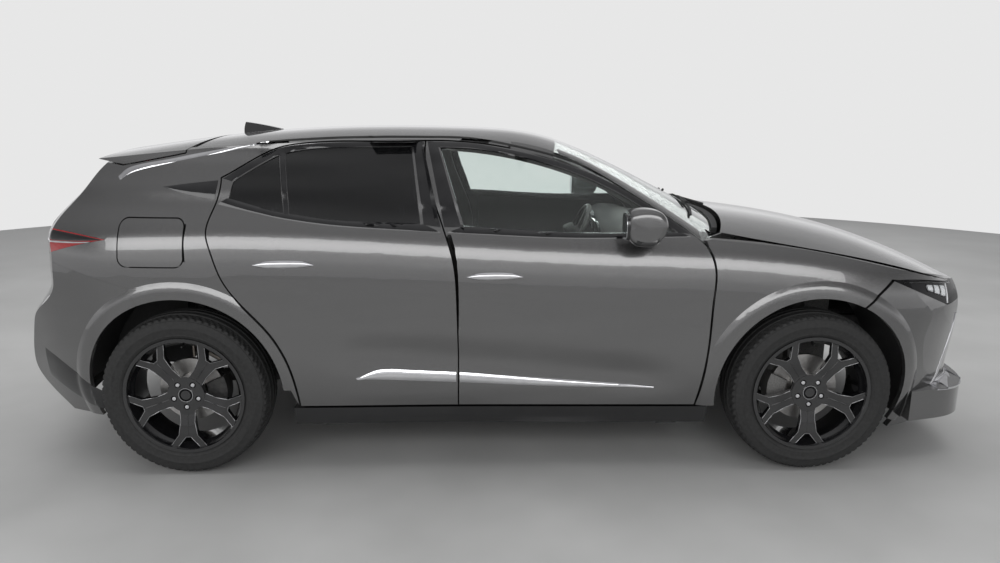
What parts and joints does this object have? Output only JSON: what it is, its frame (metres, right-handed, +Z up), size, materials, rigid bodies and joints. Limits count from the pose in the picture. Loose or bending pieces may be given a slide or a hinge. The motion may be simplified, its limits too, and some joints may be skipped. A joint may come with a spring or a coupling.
{
  "type": "hatchback car",
  "caption": "Hatchback car with opening doors, hood, tailgate and fuel flap, steered front wheels, a fitted cabin and its running gear.",
  "frame": {"origin": "on the ground under the middle of the car's length and width", "axes": "+X to the front of the car, +Y to its left, +Z up"},
  "size_m": [4.3972, 2.05, 1.4828],
  "materials": {
    "paint": "gloss",
    "frame_paint": "satin",
    "clear_glass": "gloss",
    "dark_glass": "gloss",
    "black_plastic": "matte",
    "lamp_lens": "gloss",
    "red_lens": "gloss",
    "chrome": "gloss",
    "carpet": "matte",
    "seat_leather": "satin",
    "cast_iron": "satin",
    "steel": "satin",
    "tyre": "matte",
    "rim_paint": "gloss",
    "disc_steel": "satin"
  },
  "bodies": {
    "body": {"antenna": "black_plastic", "body_sides": "paint", "cowl": "black_plastic", "dashboard": "black_plastic", "exhaust": "steel", "floor": "carpet", "front_bumper": "paint", "front_lips": "paint", "front_rails": "steel", "front_suspension": "steel", "front_wings": "paint", "grille": "black_plastic", "headlamps": "lamp_lens", "powertrain": "cast_iron", "rear_axle": "steel", "rear_bumper": "paint", "roof": "paint", "seats": "seat_leather", "side_frames": "frame_paint", "sills": "frame_paint", "steering_wheel": "black_plastic", "tail_lamps": "red_lens", "wheel_liners": "black_plastic", "windscreen": "clear_glass"},
    "front_door_right": {"front_door_right": "paint", "front_glass_right": "clear_glass", "front_fittings_right": "paint"},
    "rear_door_right": {"rear_door_right": "paint", "rear_glass_right": "dark_glass", "rear_handle_right": "chrome"},
    "knuckle_right": {"knuckle_right": "cast_iron"},
    "wheel_front_right": {"tyre_front_right": "tyre", "rim_front_right": "rim_paint", "disc_front_right": "disc_steel"},
    "wheel_rear_right": {"tyre_rear_right": "tyre", "rim_rear_right": "rim_paint", "disc_rear_right": "disc_steel"},
    "front_door_left": {"front_door_left": "paint", "front_glass_left": "clear_glass", "front_fittings_left": "paint"},
    "rear_door_left": {"rear_door_left": "paint", "rear_glass_left": "dark_glass", "rear_handle_left": "chrome"},
    "knuckle_left": {"knuckle_left": "cast_iron"},
    "wheel_front_left": {"tyre_front_left": "tyre", "rim_front_left": "rim_paint", "disc_front_left": "disc_steel"},
    "wheel_rear_left": {"tyre_rear_left": "tyre", "rim_rear_left": "rim_paint", "disc_rear_left": "disc_steel"},
    "tailgate": {"tailgate": "paint", "tailgate_glass": "dark_glass", "tailgate_lamps": "red_lens", "spoiler": "paint"},
    "hood": {"hood": "paint"},
    "fuel_flap": {"fuel_flap": "paint"}
  },
  "joints": [
    {"name": "front_door_right_hinge", "type": "hinge", "parent": "body", "child": "front_door_right", "pos_m": [0.778, -0.862, 0.62], "axis": [0, 0, 1], "range_deg": [0, 65]},
    {"name": "rear_door_right_hinge", "type": "hinge", "parent": "body", "child": "rear_door_right", "pos_m": [-0.256, -0.856, 0.62], "axis": [0, 0, 1], "range_deg": [0, 65]},
    {"name": "front_door_left_hinge", "type": "hinge", "parent": "body", "child": "front_door_left", "pos_m": [0.778, 0.862, 0.62], "axis": [0, 0, -1], "range_deg": [0, 65]},
    {"name": "rear_door_left_hinge", "type": "hinge", "parent": "body", "child": "rear_door_left", "pos_m": [-0.256, 0.856, 0.62], "axis": [0, 0, -1], "range_deg": [0, 65]},
    {"name": "tailgate_hinge", "type": "hinge", "parent": "body", "child": "tailgate", "pos_m": [-1.38, 0, 1.392], "axis": [0, 1, 0], "range_deg": [0, 75]},
    {"name": "hood_hinge", "type": "hinge", "parent": "body", "child": "hood", "pos_m": [0.88, 0, 0.985], "axis": [0, -1, 0], "range_deg": [0, 50]},
    {"name": "fuel_flap_hinge", "type": "hinge", "parent": "body", "child": "fuel_flap", "pos_m": [-1.34, -0.88408, 1.009], "axis": [0, 0.2994, 0.9541], "range_deg": [0, 80]},
    {"name": "steer_left", "type": "hinge", "parent": "body", "child": "knuckle_left", "pos_m": [1.295, 0.64, 0.354], "axis": [0, 0, 1], "range_deg": [-32, 32]},
    {"name": "steer_right", "type": "hinge", "parent": "body", "child": "knuckle_right", "pos_m": [1.295, -0.64, 0.354], "axis": [0, 0, 1], "range_deg": [-32, 32]},
    {"name": "wheel_front_left_spin", "type": "hinge", "parent": "knuckle_left", "child": "wheel_front_left", "pos_m": [1.295, 0.8, 0.354], "axis": [0, 1, 0], "continuous": true},
    {"name": "wheel_rear_left_spin", "type": "hinge", "parent": "body", "child": "wheel_rear_left", "pos_m": [-1.38, 0.8, 0.354], "axis": [0, 1, 0], "continuous": true},
    {"name": "wheel_front_right_spin", "type": "hinge", "parent": "knuckle_right", "child": "wheel_front_right", "pos_m": [1.295, -0.8, 0.354], "axis": [0, 1, 0], "continuous": true},
    {"name": "wheel_rear_right_spin", "type": "hinge", "parent": "body", "child": "wheel_rear_right", "pos_m": [-1.38, -0.8, 0.354], "axis": [0, 1, 0], "continuous": true}
  ],
  "couplings": [
    {"joint": "steer_right", "follows": "steer_left", "ratio": 1}
  ]
}
